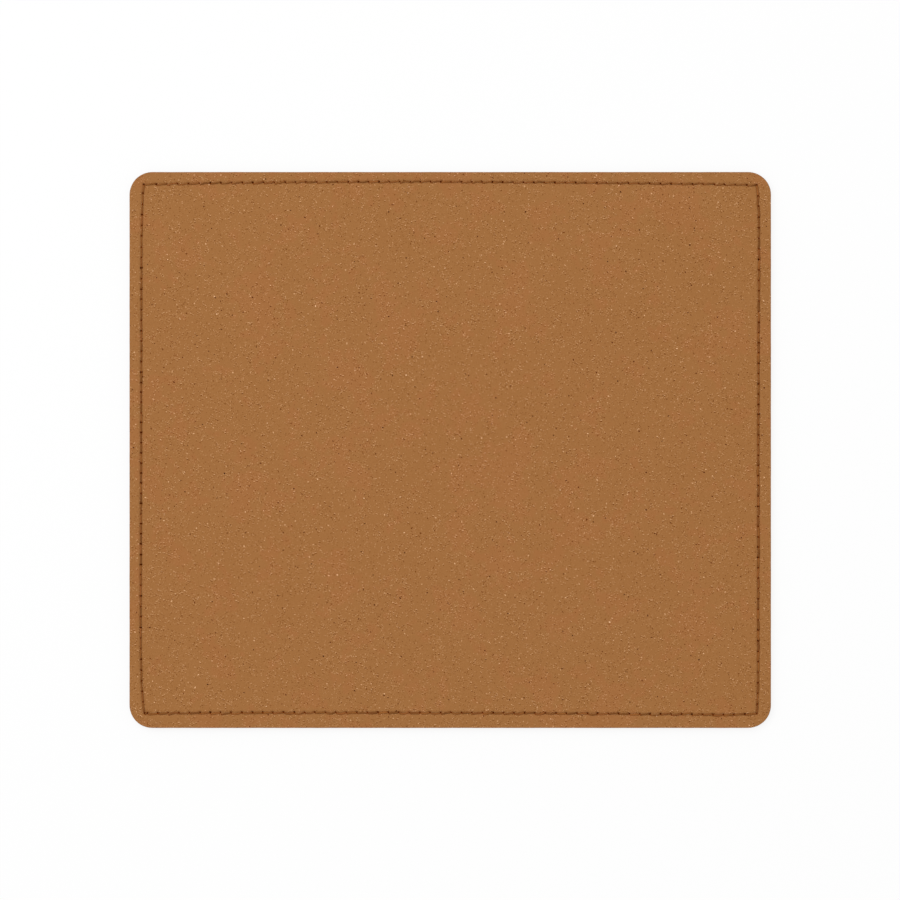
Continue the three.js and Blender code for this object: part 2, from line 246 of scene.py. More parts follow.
class Seam:
    """The seam line and the samples along it, which every sewn piece shares.

    A point of a run is measured along the pad's edge from the sharp corner behind the run, and in from that
    edge. s is the distance along the run from its first hole.
    """

    def __init__(self, pad, sizes):
        low, high = np.array(LEATHER_LOW), np.array(LEATHER_HIGH)
        self.corners = np.array([[low[0], low[1]], [high[0], low[1]], [high[0], high[1]], [low[0], high[1]]])
        self.sides = np.abs(np.roll(self.corners, -1, axis=0) - self.corners).sum(axis=1)
        self.starts = np.array([run.start for run in RUNS]) * MM
        self.ends = np.roll(self.starts, -1, axis=0)[:, ::-1]
        self.lengths = self.sides - self.starts[:, 0] - self.ends[:, 0]
        self.radius = pad.corner_radius
        self.block = BLOCK_SHARE * sizes.hole
        self.block_rings = self.block * np.array([1, 0.5, 0, -0.5, -1])
        self.hole_radius = sizes.hole / 2
        self.find_holes()
        spread = np.random.default_rng(7).normal(*HOLE_SPREAD, len(self.hole_s))
        spread = np.clip(spread, -HOLE_SPREAD_MOST, HOLE_SPREAD_MOST)
        self.hole_radii = self.hole_radius * run_values("pricked", self.hole_run) * (1 + spread)
        self.find_samples()

    def find_holes(self):
        """Needle holes at an even pitch on each run, off it by a small seeded error, as a machine sews."""
        chance = np.random.default_rng(5)
        runs, places = [], []
        for number, (run, length) in enumerate(zip(RUNS, self.lengths)):
            first = CLOSING_STITCH if number == 0 else 0.0
            before, after = np.array(run.extra) * MM
            even = first + before + (length - first - before - after) * np.arange(run.stitches) / run.stitches
            even += run.drift * length / (2 * np.pi) * np.sin(2 * np.pi * even / length)
            even[0] = first
            even[1:] += chance.normal(0, PITCH_ERROR, run.stitches - 1)
            places.append(np.concatenate([[0.0], even]) if first else even)
            runs.append(np.full(len(places[-1]), number))
        self.hole_run = np.concatenate(runs)
        self.hole_s = np.concatenate(places)
        self.is_corner = self.hole_s == 0
        following = np.roll(self.hole_s, -1)
        self.stitch = np.where(following > 0, following, self.lengths[self.hole_run]) - self.hole_s

    def find_samples(self):
        """Samples of every stitch: close together over half a block beside each hole, and even between."""
        stitch, half = self.stitch[:, None], self.block
        even = half + (stitch - 2 * half) * np.linspace(0, 1, SPAN_STEPS + 1)
        beside = np.zeros_like(stitch) + np.array([0, half / 2])
        offset = np.concatenate([beside, even, stitch - half / 2], axis=1)
        per_stitch = offset.shape[1]
        self.hole_at = np.arange(len(self.hole_s)) * per_stitch
        self.from_hole = np.minimum(offset, stitch - offset).ravel()
        self.s = (self.hole_s[:, None] + offset).ravel()
        self.run = np.repeat(self.hole_run, per_stitch)

    def line(self, run, s):
        """(along, in) of the seam: a straight lead from corner to corner, less a bow, a parabola through its
        three values, that swings out and back as 1 - exp(-s / ease) from each end."""
        length = self.lengths[run]
        share = s / length
        bow, ease = run_values("bow", run) * MM, run_values("ease", run) * MM
        swing = (1 - np.exp(-s / ease[..., 0])) * (1 - np.exp((s - length) / ease[..., 1]))
        parabola = (1 - share) * (1 - 2 * share), 4 * share * (1 - share), share * (2 * share - 1)
        out = sum(bow[..., k] * parabola[k] for k in range(3)) * swing
        depth = self.starts[run, 1] + (self.ends[run, 1] - self.starts[run, 1]) * share
        return self.starts[run, 0] + s, depth - out

    def lay(self, run, s):
        """How far a stitch at s lies in from its holes at its start, middle and end: from the first stitch's
        values to the last's, in step with s."""
        near, far = np.moveaxis(run_values("lay", run), -2, 0) * MM
        return near + (far - near) * (s / self.lengths[run])[..., None]

    def place(self, run, along, depth):
        """Plan positions of points that are measured from their run's edges."""
        return self.corners[run] + along[..., None] * TRAVEL[run] + depth[..., None] * INWARD[run]

    def hole_places(self):
        """Plan positions of the needle holes."""
        return self.place(self.hole_run, *self.line(self.hole_run, self.hole_s))

    def ring(self, offset):
        """(along, in) of lines beside the seam, offset inwards by each distance and mitred at the corners:
        a sample moves along by offset * exp(-s / (reach + |offset|)), which is the mitre at s = 0."""
        along, depth = self.line(self.run, self.s)
        offset = np.asarray(offset)[:, None]
        fade = MITRE_REACH + np.abs(offset)
        mitre = np.exp(-self.s / fade) - np.exp((self.s - self.lengths[self.run]) / fade)
        return along + offset * mitre, depth + offset

    def outline(self, inset):
        """(along, in) of the die-cut outline, drawn in by each inset: an eighth of a turn on each side of a
        corner's diagonal, and straight between."""
        run = self.run
        first = self.s < self.lengths[run] / 2
        near = np.where(first, self.s, self.lengths[run] - self.s)
        edge = np.where(first, self.starts[run, 0], self.ends[run, 0])
        round_part = self.radius - edge
        angle = np.pi / 4 * (1 + np.minimum(near / round_part, 1))
        straight = np.maximum(near - round_part, 0)
        radius = self.radius - inset
        along = self.radius - radius * np.cos(angle) + straight
        return np.where(first, along, self.sides[run] - along), self.radius - radius * np.sin(angle)


def rings(height, share=0.0, offset=0.0, inset=0.0):
    """Rows of (height, share, offset, inset) for the rings of a sheet, from numbers or lists."""
    return np.column_stack(np.broadcast_arrays(height, share, offset, inset)).astype(float)


def round_edge(top, bottom, upper, lower, hollow=0.0):
    """Rings over a sheet's cut edge: a quarter circle at its upper corner, a wall that draws in by a hollow
    at its middle, and a quarter circle at its lower corner."""
    angle = np.linspace(0, np.pi / 2, 4)
    over = rings(top - upper * (1 - np.cos(angle)), share=1, inset=upper * (1 - np.sin(angle)))
    under = rings(bottom + lower * (1 - np.sin(angle)), share=1, inset=lower * (1 - np.cos(angle)))
    depth = np.linspace(0, 1, 6)[1:-1]
    start, end = top - upper, bottom + lower
    wall = rings(start + (end - start) * depth, share=1, inset=hollow * np.sin(np.pi * depth))
    return np.concatenate([over, wall, under])


def plain_rings(seam):
    """Offsets of a plain face's rings, from within the seam to outside it."""
    return np.array([INNER_RING, PLAIN_RING, *seam.block_rings, -PLAIN_RING])


def sheet_rings(face, border, edge, back, rise=0.0):
    """Rings of a sheet from the middle of its upper face, over its edge, to the middle of its lower face, and
    the numbers of the two on the seam. face and back are offsets of the faces' rings, border the shares of
    those between them and the edge, and rise how far the lower face's rings lie over it."""
    top, bottom = edge[0, 0], edge[-1, 0]
    stations = np.concatenate([
        rings(top, offset=face),
        rings(top, share=border, offset=face[-1]),
        edge,
        rings(bottom, share=border[::-1], offset=back[0]),
        rings(bottom + rise, offset=back),
    ])
    return stations, np.argmin(np.abs(face)), len(stations) - len(back) + np.argmin(np.abs(back))


def sheet_grid(seam, stations, wander):
    """Points of a sheet, ring by ring: each ring lies a share of the way from a line beside the seam to the
    outline, whose inset wanders as the mean of three waves round the pad."""
    height, share, offset, inset = stations.T
    turn = 2 * np.pi * np.arange(len(seam.s)) / len(seam.s)
    waves = sum(np.sin(count * turn + phase) for count, phase in EDGE_WAVES) / len(EDGE_WAVES)
    sewn = np.stack(seam.ring(offset))
    cut = np.stack(seam.outline(inset[:, None] + wander * waves))
    along, depth = sewn + share[:, None] * (cut - sewn)
    flat = seam.place(np.broadcast_to(seam.run, along.shape), along, depth)
    return np.concatenate([flat, np.broadcast_to(height[:, None, None], along.shape + (1,))], axis=-1)


def rim_walk(seam):
    """Steps (along, in) on the grid from a hole to the points round it, counter-clockwise, as a walk round a
    square, and the direction of each. Round a corner's hole the grid itself turns by a quarter, so the inner
    half of the walk spans a quarter turn there and the outer half the rest."""
    walk = np.arange(RIM_POINTS)
    half, quarter = RIM_POINTS // 2, RIM_POINTS // 4
    step = [np.clip(2 * RIM_REACH - np.abs((w + half) % RIM_POINTS - half), -RIM_REACH, RIM_REACH)
            for w in (walk, walk - quarter)]
    angle = np.arctan2(step[1], step[0]) % (2 * np.pi)
    turned = np.where(angle <= np.pi, angle / 2, np.pi / 2 + 1.5 * (angle - np.pi))
    angle = np.where(seam.is_corner[:, None], turned, angle)
    run = seam.hole_run
    spoke = np.cos(angle)[..., None] * TRAVEL[run][:, None] + np.sin(angle)[..., None] * INWARD[run][:, None]
    return *step, spoke


def ring_quads(rows, columns):
    """Quads between the rings of a grid that closes on itself along each ring."""
    number = np.arange(rows * columns).reshape(rows, columns)
    after = np.roll(number, -1, axis=1)
    return np.stack([number[:-1], number[1:], after[1:], after[:-1]], axis=-1)


def closing_fans(rows, columns):
    """Triangles from the first and the last ring of a grid to two middle points that follow its points."""
    ring = np.arange(columns)
    after = np.roll(ring, -1)
    last = (rows - 1) * columns
    upper = np.stack([np.full(columns, rows * columns), ring, after], axis=-1)
    lower = np.stack([np.full(columns, rows * columns + 1), last + after, last + ring], axis=-1)
    return np.concatenate([upper, lower])


def pierced_sheet(name, seam, stations, upper, lower, wander, shape=None):
    """A closed sheet on its rings, of which upper and lower lie on the seam. Round each needle hole points of
    the grid move onto a circle, and walls join the circles of the two faces.

    Returns the mesh and each point's distance from the rim of the nearest hole.
    """
    grid = sheet_grid(seam, stations, wander)
    rows, columns = grid.shape[:2]
    away = np.hypot(seam.from_hole, np.where(stations[:, 1] > 0, np.inf, stations[:, 2])[:, None])
    if shape is not None:
        grid[..., 2] += shape(stations, away)
    away = np.maximum(away - seam.hole_radius, 0)
    along_step, in_step, spoke = rim_walk(seam)
    column = (seam.hole_at[:, None] + along_step) % columns
    circle = seam.hole_places()[:, None] + seam.hole_radii[:, None, None] * spoke
    keep = np.ones((rows - 1, columns), bool)
    inner = np.arange(-RIM_REACH, RIM_REACH)
    rims = []
    for row, way in ((upper, -1), (lower, 1)):
        rim_row = row + way * in_step
        grid[rim_row, column, :2] = circle
        grid[rim_row, column, 2] = grid[rim_row, column, 2].mean()
        away[rim_row, column] = 0
        keep[(row + inner)[:, None, None], (seam.hole_at[:, None] + inner) % columns] = False
        rims.append(rim_row * columns + column)
    walls = np.stack([rims[0], np.roll(rims[0], -1, 1), np.roll(rims[1], -1, 1), rims[1]], axis=-1)
    quads = np.concatenate([ring_quads(rows, columns)[keep], walls.reshape(-1, 4)])
    middles = np.array([[*grid[row, :, :2].mean(axis=0), stations[row, 0]] for row in (0, -1)])
    points = np.concatenate([grid.reshape(-1, 3), middles])
    away = np.concatenate([away.ravel(), [np.inf, np.inf]])
    mesh, used = build_mesh(name, points, quads, closing_fans(rows, columns))
    return mesh, away[used]


def build_mesh(name, points, quads, triangles, corner_uv=None):
    """A smooth mesh from arrays of points, quads and triangles, without the points that no face uses."""
    used = np.zeros(len(points), bool)
    used[quads] = True
    used[triangles] = True
    number = np.cumsum(used) - 1
    corners = np.concatenate([number[quads].ravel(), number[triangles].ravel()]).astype(np.int32)
    sizes = np.repeat([4, 3], [len(quads), len(triangles)])
    mesh = bpy.data.meshes.new(name)
    mesh.vertices.add(int(used.sum()))
    mesh.vertices.foreach_set("co", points[used].astype(np.float32).ravel())
    mesh.loops.add(len(corners))
    mesh.loops.foreach_set("vertex_index", corners)
    mesh.polygons.add(len(sizes))
    mesh.polygons.foreach_set("loop_start", (np.cumsum(sizes) - sizes).astype(np.int32))
    mesh.polygons.foreach_set("use_smooth", np.ones(len(sizes), bool))
    if corner_uv is not None:
        mesh.uv_layers.new(name="Thread").data.foreach_set("uv", corner_uv.astype(np.float32).ravel())
    mesh.update(calc_edges=True)
    if mesh.validate():
        raise RuntimeError(f"{name} has faces that do not fit together")
    return mesh, used


def add_object(name, data):
    """A new object in the scene."""
    made = bpy.data.objects.new(name, data)
    bpy.context.scene.collection.objects.link(made)
    return made


def add_piece(mesh, node, slot, *materials):
    """A piece that stands for a CAD node and rides with it."""
    piece = add_object(mesh.name, mesh)
    for material in materials:
        mesh.materials.append(material)
    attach(piece, "root")
    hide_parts(node)
    return piece


def set_hole_distances(mesh, metres):
    """The distance of each point from the nearest needle hole, in millimetres, which materials read."""
    values = np.minimum(metres / MM, CLEAR_OF_HOLES).astype(np.float32)
    mesh.attributes.new("from_hole", "FLOAT", "POINT").data.foreach_set("value", values)


def face_vectors(mesh, name):
    """A vector of each face of a mesh, such as its normal or its centre."""
    values = np.zeros(len(mesh.polygons) * 3, np.float32)
    mesh.polygons.foreach_get(name, values)
    return values.reshape(-1, 3)


def add_node(tree, kind, inputs=None, **settings):
    """Add a shader node, set its properties, fill its inputs with values or other nodes' outputs, and return
    its own outputs."""
    made = tree.nodes.new("ShaderNode" + kind)
    for name, value in settings.items():
        setattr(made, name, value)
    for socket, value in (inputs or {}).items():
        if isinstance(value, bpy.types.NodeSocket):
            tree.links.new(value, made.inputs[socket])
        else:
            made.inputs[socket].default_value = value
    return made.outputs


def maths(tree, operation, *values, clamp=False):
    """The result of a Math node."""
    inputs = dict(enumerate(values))
    return add_node(tree, "Math", inputs, operation=operation, use_clamp=clamp)[0]


def vector_maths(tree, operation, *values):
    """The result of a Vector Math node."""
    return add_node(tree, "VectorMath", dict(enumerate(values)), operation=operation)[0]


def mapped(tree, place, scale, turn=0.0):
    """Coordinates times a scale, turned about Z."""
    inputs = {"Vector": place, "Rotation": (0, 0, turn), "Scale": scale}
    return add_node(tree, "Mapping", inputs)["Vector"]


def remap(tree, value, low, high, to_low=0.0, to_high=1.0):
    """A value taken smoothly from one range to another."""
    inputs = {"Value": value, "From Min": low, "From Max": high, "To Min": to_low, "To Max": to_high}
    return add_node(tree, "MapRange", inputs, interpolation_type="SMOOTHSTEP")["Result"]


def mix_colours(tree, share, first, second):
    """Two colours mixed by a share."""
    return add_node(tree, "Mix", {0: share, 6: first, 7: second}, data_type="RGBA")[2]


def noise(tree, place, scale, detail=2.0, roughness=0.5, output="Fac"):
    """Noise with a number of waves to each millimetre."""
    inputs = {"Vector": place, "Scale": scale, "Detail": detail, "Roughness": roughness}
    return add_node(tree, "TexNoise", inputs)[output]


def hole_distance(tree):
    """The distance from the nearest needle hole that the mesh holds, in millimetres."""
    return add_node(tree, "Attribute", attribute_name="from_hole")["Fac"]


def opaque(colour):
    """A colour property as a socket takes it."""
    return (*colour, 1.0)


def empty_tree(owner):
    """The node tree of a new material or world, without its first nodes."""
    owner.use_nodes = True
    owner.node_tree.nodes.clear()
    return owner.node_tree


def start_material(name):
    """A new material, its node tree, and its coordinates in millimetres on the pad."""
    material = bpy.data.materials.new(name)
    tree = empty_tree(material)
    place = add_node(tree, "TexCoord")["Object"]
    return material, tree, mapped(tree, place, (1 / MM, 1 / MM, 1 / MM))


def finish_material(material, colour, roughness, spec, height, bump):
    """The material with its Principled shader, whose bump is a height in units of a length."""
    tree = material.node_tree
    normal = add_node(tree, "Bump", {"Height": height, "Distance": bump})["Normal"]
    inputs = {"Base Color": colour, "Roughness": roughness, "Specular IOR Level": spec, "Normal": normal}
    shader = add_node(tree, "BsdfPrincipled", inputs)
    add_node(tree, "OutputMaterial", {"Surface": shader["BSDF"]})
    return material


def flecks(tree, place, share, kind):
    """Flecks scattered one to a cell: an ellipse round the cell's random point, turned by a random angle from
    across the pad, of random size and strength, in a random share of the cells. Up to 1 inside a fleck and 0
    outside."""
    flat = mapped(tree, place, (1, 1, 0), kind.turn)
    cells = add_node(tree, "TexVoronoi", {"Vector": flat, "Scale": 1 / kind.cell}, voronoi_dimensions="2D")
    chance = add_node(tree, "SeparateColor", {"Color": cells["Color"]})
    from_point = vector_maths(tree, "SUBTRACT", flat, cells["Position"])
    spin = maths(tree, "MULTIPLY_ADD", chance["Red"], 2 * FLECK_SPIN, kind.turn - FLECK_SPIN)
    turned = add_node(tree, "VectorRotate", {"Vector": from_point, "Angle": spin}, rotation_type="Z_AXIS")[0]
    part = add_node(tree, "SeparateXYZ", {"Vector": turned})
    reach = 0.0
    for axis, extent in (("X", kind.length), ("Y", kind.width)):
        ratio = maths(tree, "DIVIDE", part[axis], extent / 2)
        reach = maths(tree, "MULTIPLY_ADD", ratio, ratio, reach)
    area = remap(tree, chance["Blue"], 0.0, 1.0, *FLECK_AREAS)
    inside = remap(tree, maths(tree, "DIVIDE", reach, area), 1.0, 0.25)
    faint = maths(tree, "DIVIDE", chance["Green"], share)
    return maths(tree, "MULTIPLY", inside, maths(tree, "SUBTRACT", 1.0, faint, clamp=True))


def scatter(tree, place, share, kinds):
    """The sum of several kinds of fleck, each by its strength."""
    total = 0.0
    for kind in kinds:
        total = maths(tree, "MULTIPLY_ADD", flecks(tree, place, share, kind), kind.strength, total)
    return total


def leather_face(colours):
    """Recycled leather: an olive tan ground with redder clouds, and a tone of fine grain, broad patches and
    light fibres that gather in drifts, less a shade beside the long ones and dark specks. The tone shifts
    red, green and blue alike as the eye sees them, so it is added under a gamma. The holes are painted
    dark with shade."""
    material, tree, place = start_material("recycled_leather")
    clouds = remap(tree, noise(tree, place, scale=0.065, detail=3.0, roughness=0.75), 0.51, 0.59)
    ground = mix_colours(tree, clouds, opaque(colours.leather_olive), opaque(colours.leather_red))
    drift = remap(tree, noise(tree, place, scale=0.28, detail=4.0, roughness=0.7), 0.38, 0.66)
    grain = noise(tree, place, scale=3.4, detail=1.0, roughness=0.6)
    rough = maths(tree, "MULTIPLY_ADD", drift, 0.6, 0.19)
    tone = maths(tree, "MULTIPLY", maths(tree, "SUBTRACT", grain, 0.5), rough)
    wobble = noise(tree, place, scale=2.0, detail=1.0, output="Color")
    ragged = vector_maths(tree, "MULTIPLY_ADD", wobble, (0.5, 0.5, 0.0), place)
    # A dark copy of the long fibres, moved aside, paints a shade beside each one; dark adds the real specks
    shaded = vector_maths(tree, "ADD", ragged, FIBRE_SHADE)
    share = maths(tree, "MULTIPLY_ADD", drift, 0.55, 0.07)
    pale = scatter(tree, ragged, share, FIBRES)
    dark = maths(tree, "ADD", scatter(tree, shaded, share, FIBRES[:1]), scatter(tree, ragged, share, SPECKS))
    tone = maths(tree, "ADD", tone, maths(tree, "SUBTRACT", pale, dark))
    patches = noise(tree, place, scale=0.06, detail=4.0, roughness=0.7)
    tone = maths(tree, "MULTIPLY_ADD", patches, PATCH_TONE, tone)
    tone = maths(tree, "MULTIPLY", maths(tree, "SUBTRACT", tone, PATCH_TONE / 2), TONE_STRENGTH)
    seen = add_node(tree, "Gamma", {"Color": ground, "Gamma": 1 / SIGHT_GAMMA})[0]
    seen = vector_maths(tree, "MAXIMUM", vector_maths(tree, "ADD", seen, tone), DARKEST)
    colour = add_node(tree, "Gamma", {"Color": seen, "Gamma": SIGHT_GAMMA})[0]
    # Painted shade at the needle holes' rims and inside the holes
    colour = mix_colours(tree, remap(tree, hole_distance(tree), *HOLE_SHADE_FADE), colour, opaque(colours.hole_shade))
    roughness = remap(tree, grain, 0.25, 0.75, 0.62, 0.8)
    pebbles = add_node(tree, "TexVoronoi", {"Vector": ragged, "Scale": 2.4})["Distance"]
    pores = noise(tree, place, scale=6.0, detail=4.0, roughness=0.75)
    height = maths(tree, "SUBTRACT", maths(tree, "MULTIPLY_ADD", pores, 0.9, grain), pebbles)
    height = maths(tree, "MULTIPLY_ADD", pale, 0.4, height)
    return finish_material(material, colour, roughness, spec=0.06, height=height, bump=0.055 * MM)


def leather_cut(colours):
    """The raw cut edge of the leather: fibres that lie along the sheet, in darker and lighter layers."""
    material, tree, place = start_material("leather_cut_edge")
    layers = noise(tree, mapped(tree, place, (1, 1, 2.2)), scale=2.6, detail=5.0, roughness=0.75)
    tone = remap(tree, layers, 0.3, 0.7)
    colour = mix_colours(tree, tone, opaque(colours.leather_layers), opaque(colours.leather_cut))
    return finish_material(material, colour, roughness=0.85, spec=0.15, height=layers, bump=0.06 * MM)


def foam_cut(colours):
    """Dense foam: small closed cells, opened where the sheet is cut, with painted shade inside them."""
    material, tree, place = start_material("dense_foam")
    cells = add_node(tree, "TexVoronoi", {"Vector": place, "Scale": 4.5})["Distance"]
    cell = remap(tree, cells, 0.05, 0.6)
    # Painted shade in the cells' hollows, which the bump draws as pits
    tone = mix_colours(tree, cell, opaque(colours.foam_cell_shade), opaque(colours.foam))
    cloud = remap(tree, noise(tree, place, scale=0.25, detail=3.0), 0.3, 0.7, 0.8, 1.25)
    colour = vector_maths(tree, "MULTIPLY", tone, cloud)
    return finish_material(material, colour, roughness=0.92, spec=0.2, height=cell, bump=0.05 * MM)


def grip_face(colours):
    """Non-slip sheet: two sets of fine waves that cross, pressed into matt rubber, with faint dust, and with
    painted light on the waves' crests and painted shade in their troughs.
    """
    material, tree, place = start_material("grip_rubber")
    part = add_node(tree, "SeparateXYZ", {"Vector": place})
    waves = []
    for operation in ("ADD", "SUBTRACT"):
        slanted = maths(tree, operation, part["X"], part["Y"])
        waves.append(maths(tree, "SINE", maths(tree, "MULTIPLY", slanted, 2 * np.pi / EMBOSS_STEP)))
    emboss = maths(tree, "MULTIPLY", *waves)
    dust = remap(tree, noise(tree, place, scale=0.3, detail=6.0, roughness=0.7), 0.45, 0.75, *DUST_TONE)
    # Painted light on the emboss's crests and painted shade in its troughs, times the real dust
    dust_and_emboss_shade = maths(tree, "MULTIPLY", dust, remap(tree, emboss, -1.0, 1.0, 0.75, 1.2))
    colour = vector_maths(tree, "MULTIPLY", tuple(colours.grip), dust_and_emboss_shade)
    roughness = remap(tree, dust, *DUST_TONE, 0.72, 0.9)
    height = maths(tree, "MULTIPLY_ADD", noise(tree, place, scale=4.0, detail=3.0), 0.5, emboss)
    return finish_material(material, colour, roughness, spec=0.3, height=height, bump=0.06 * MM)


def sewing_thread(colours):
    """Twisted thread: plies that wind round it, with painted shade between them, in brown that turns redder
    along some stretches, and painted dark with shade down in the holes."""
    material, tree, _ = start_material("twisted_thread")
    thread_map = add_node(tree, "UVMap", uv_map="Thread")["UV"]
    part = add_node(tree, "SeparateXYZ", {"Vector": thread_map})
    winding = maths(tree, "MULTIPLY_ADD", part["Y"], 1 / PLY_STEP, maths(tree, "MULTIPLY", part["X"], PLIES))
    ply = maths(tree, "ABSOLUTE", maths(tree, "SINE", maths(tree, "MULTIPLY", winding, np.pi)))
    along = mapped(tree, thread_map, (0, 1, 0))
    redder = remap(tree, noise(tree, along, scale=0.06, detail=3.0), 0.4, 0.65)
    dyed = mix_colours(tree, redder, opaque(colours.thread), opaque(colours.thread_red))
    uneven = remap(tree, noise(tree, along, scale=0.13, detail=0.0), 0.25, 0.75, 0.78, 1.22)
    # Painted shade between the plies, times a tone that differs at random from stitch to stitch
    shade = maths(tree, "MULTIPLY", remap(tree, ply, 0.0, 0.7, 0.6, 1.08), uneven)
    colour = vector_maths(tree, "MULTIPLY", dyed, shade)
    # Painted shade where the thread dives down into a hole
    colour = mix_colours(tree, remap(tree, hole_distance(tree), *THREAD_HOLE_SHADE_FADE), colour, opaque(colours.hole_shade))
    return finish_material(material, colour, roughness=0.7, spec=0.05, height=ply, bump=0.05 * MM)


def groove_height(sizes, offset):
    """Height of the leather at an offset from the stitches: a round groove, with the leather raised a little
    on each side."""
    groove = sizes.groove_depth * np.exp(-(offset / sizes.groove_width) ** 2)
    raised = sizes.shoulder * np.exp(-((np.abs(offset) - 2.4 * sizes.groove_width) / sizes.groove_width) ** 2)
    return raised - groove


class MOUSEPAD_OT_leather(bpy.types.Operator):
    """Build the leather sheet, with the seam's groove and its needle holes"""

    bl_idname = "mousepad.leather"
    bl_label = "Leather Top"

    def execute(self, context):
        settings = context.scene.mouse_pad
        pad, sizes = settings.pad, settings.seam
        seam = Seam(pad, sizes)
        beside = np.array([2.6, 1.8, 1.4, 1.05, 0.75]) * MM
        across = np.array([INNER_RING, *beside, *seam.block_rings, *-beside[:0:-1]])
        edge = round_edge(LEATHER_HIGH.z, LEATHER_LOW.z, pad.leather_edge, pad.sheet_edge)
        sheet = sheet_rings(across, (0.3, 0.6, 0.85), edge, plain_rings(seam)[::-1])
        from_corner = np.minimum(seam.s, seam.lengths[seam.run] - seam.s)
        lay = seam.lay(seam.run, seam.s)[:, 1] * np.minimum(from_corner / LAY_FADE, 1)

        def relief(rows, away):
            """Heights of the upper face's rings: the groove less a dip, exp(-away^2), at each hole."""
            groove = groove_height(sizes, rows[:, 2][:, None] - lay)
            dip = sizes.hole_dip * np.exp(-(away / DIP_REACH) ** 2)
            return np.where((np.arange(len(rows)) < len(across))[:, None], groove - dip, 0)

        mesh, away = pierced_sheet("leather_sheet", seam, *sheet, pad.cut_wander, relief)
        set_hole_distances(mesh, away)
        finishes = leather_face(settings.colours), leather_cut(settings.colours)
        piece = add_piece(mesh, "leather_top", "tan_leather", *finishes)
        steep = face_vectors(mesh, "normal")[:, 2] < RAW_STEEP
        from_middle = np.abs(face_vectors(mesh, "center"))[:, :2]
        at_edge = (from_middle > np.array(LEATHER_HIGH)[:2] - RAW_BORDER).any(axis=1)
        mesh.polygons.foreach_set("material_index", (steep & at_edge).astype(np.int32))
        return {"FINISHED"}


class MOUSEPAD_OT_core(bpy.types.Operator):
    """Build the foam core, with its needle holes and the trench under the seam"""

    bl_idname = "mousepad.core"
    bl_label = "Foam Core"

    def execute(self, context):
        settings = context.scene.mouse_pad
        pad, sizes = settings.pad, settings.seam
        seam = Seam(pad, sizes)
        half = sizes.trench_width
        inside = np.array([-0.96, -0.9, -0.8]) * half
        under = np.array([-1.1 * half, -half, *inside, *seam.block_rings[::-1],
                          *-inside[::-1], half, 1.1 * half, INNER_RING])
        # The roof of the trench is level over four fifths of its width, and falls as a cube to its walls.
        fall = np.clip((np.abs(under) / half - 0.8) / 0.2, 0, 1) ** 3
        trench = np.where(np.abs(under) < 0.99 * half, 1 - fall, 0)
        rise = (BOBBIN_HIGH.z + TRENCH_PLAY - CORE_LOW.z) * trench
        edge = round_edge(CORE_HIGH.z, CORE_LOW.z, pad.sheet_edge, pad.sheet_edge, pad.core_hollow)
        sheet = sheet_rings(plain_rings(seam), (0.3, 0.85), edge, under, rise)
        mesh, _ = pierced_sheet("foam_sheet", seam, *sheet, 2 * pad.cut_wander)
        piece = add_piece(mesh, "foam_core", "core_foam", foam_cut(settings.colours))
        return {"FINISHED"}


class MOUSEPAD_OT_base(bpy.types.Operator):
    """Build the non-slip base"""

    bl_idname = "mousepad.base"
    bl_label = "Grip Base"

    def execute(self, context):
        settings = context.scene.mouse_pad
        pad = settings.pad
        seam = Seam(pad, settings.seam)
        inner = np.array([INNER_RING, 0])
        edge = round_edge(BASE_HIGH.z, BASE_LOW.z, pad.sheet_edge, pad.sheet_edge)
        stations = sheet_rings(inner, (0.8,), edge, inner[::-1])[0]
        grid = sheet_grid(seam, stations, pad.cut_wander)
        rows, columns = grid.shape[:2]
        middles = np.array([[0, 0, BASE_HIGH.z], [0, 0, BASE_LOW.z]])
        points = np.concatenate([grid.reshape(-1, 3), middles])
        quads = ring_quads(rows, columns).reshape(-1, 4)
        mesh, _ = build_mesh("grip_sheet", points, quads, closing_fans(rows, columns))
        piece = add_piece(mesh, "grip_base", "grip_rubber", grip_face(settings.colours))
        return {"FINISHED"}


def thread_tube(name, path, side, wide, high, phase, sides):
    """A tube of thread: at each point of its path an ellipse square to the path, wide and high from its
    middle, with its width towards the side direction there, and its points moved round by a phase. Its map
    runs once round, and in millimetres along."""
    wide, high = np.reshape(wide, (-1, 1)), np.reshape(high, (-1, 1))
    heading = np.gradient(path, axis=0)
    heading /= np.linalg.norm(heading, axis=1, keepdims=True)
    side = side - (side * heading).sum(axis=1, keepdims=True) * heading
    side /= np.linalg.norm(side, axis=1, keepdims=True)
    rise = np.cross(heading, side)
    angle = 2 * np.pi * np.arange(sides) / sides + phase[:, None]
    cosine, sine = np.cos(angle)[..., None], np.sin(angle)[..., None]
    tube = path[:, None] + (cosine * (wide * side)[:, None] + sine * (high * rise)[:, None])
    rows = len(path)
    quads = ring_quads(rows, sides)[..., ::-1]
    step = np.linalg.norm(np.diff(path, axis=0), axis=1)
    run = np.concatenate([[0], np.cumsum(step)]) / MM
    around = np.arange(sides + 1) / sides
    flat = np.stack(np.meshgrid(around, run), axis=-1)
    corner_uv = np.stack([flat[:-1, 1:], flat[1:, 1:], flat[1:, :-1], flat[:-1, :-1]], axis=2)
    cap_uv = np.zeros((2 * sides, 3, 2))
    points = np.concatenate([tube.reshape(-1, 3), path[[0, -1]]])
    caps = closing_fans(rows, sides)[:, ::-1]
    uv = np.concatenate([corner_uv.reshape(-1, 2), cap_uv.reshape(-1, 2)])
    return build_mesh(name, points, quads.reshape(-1, 4), caps, uv)[0]


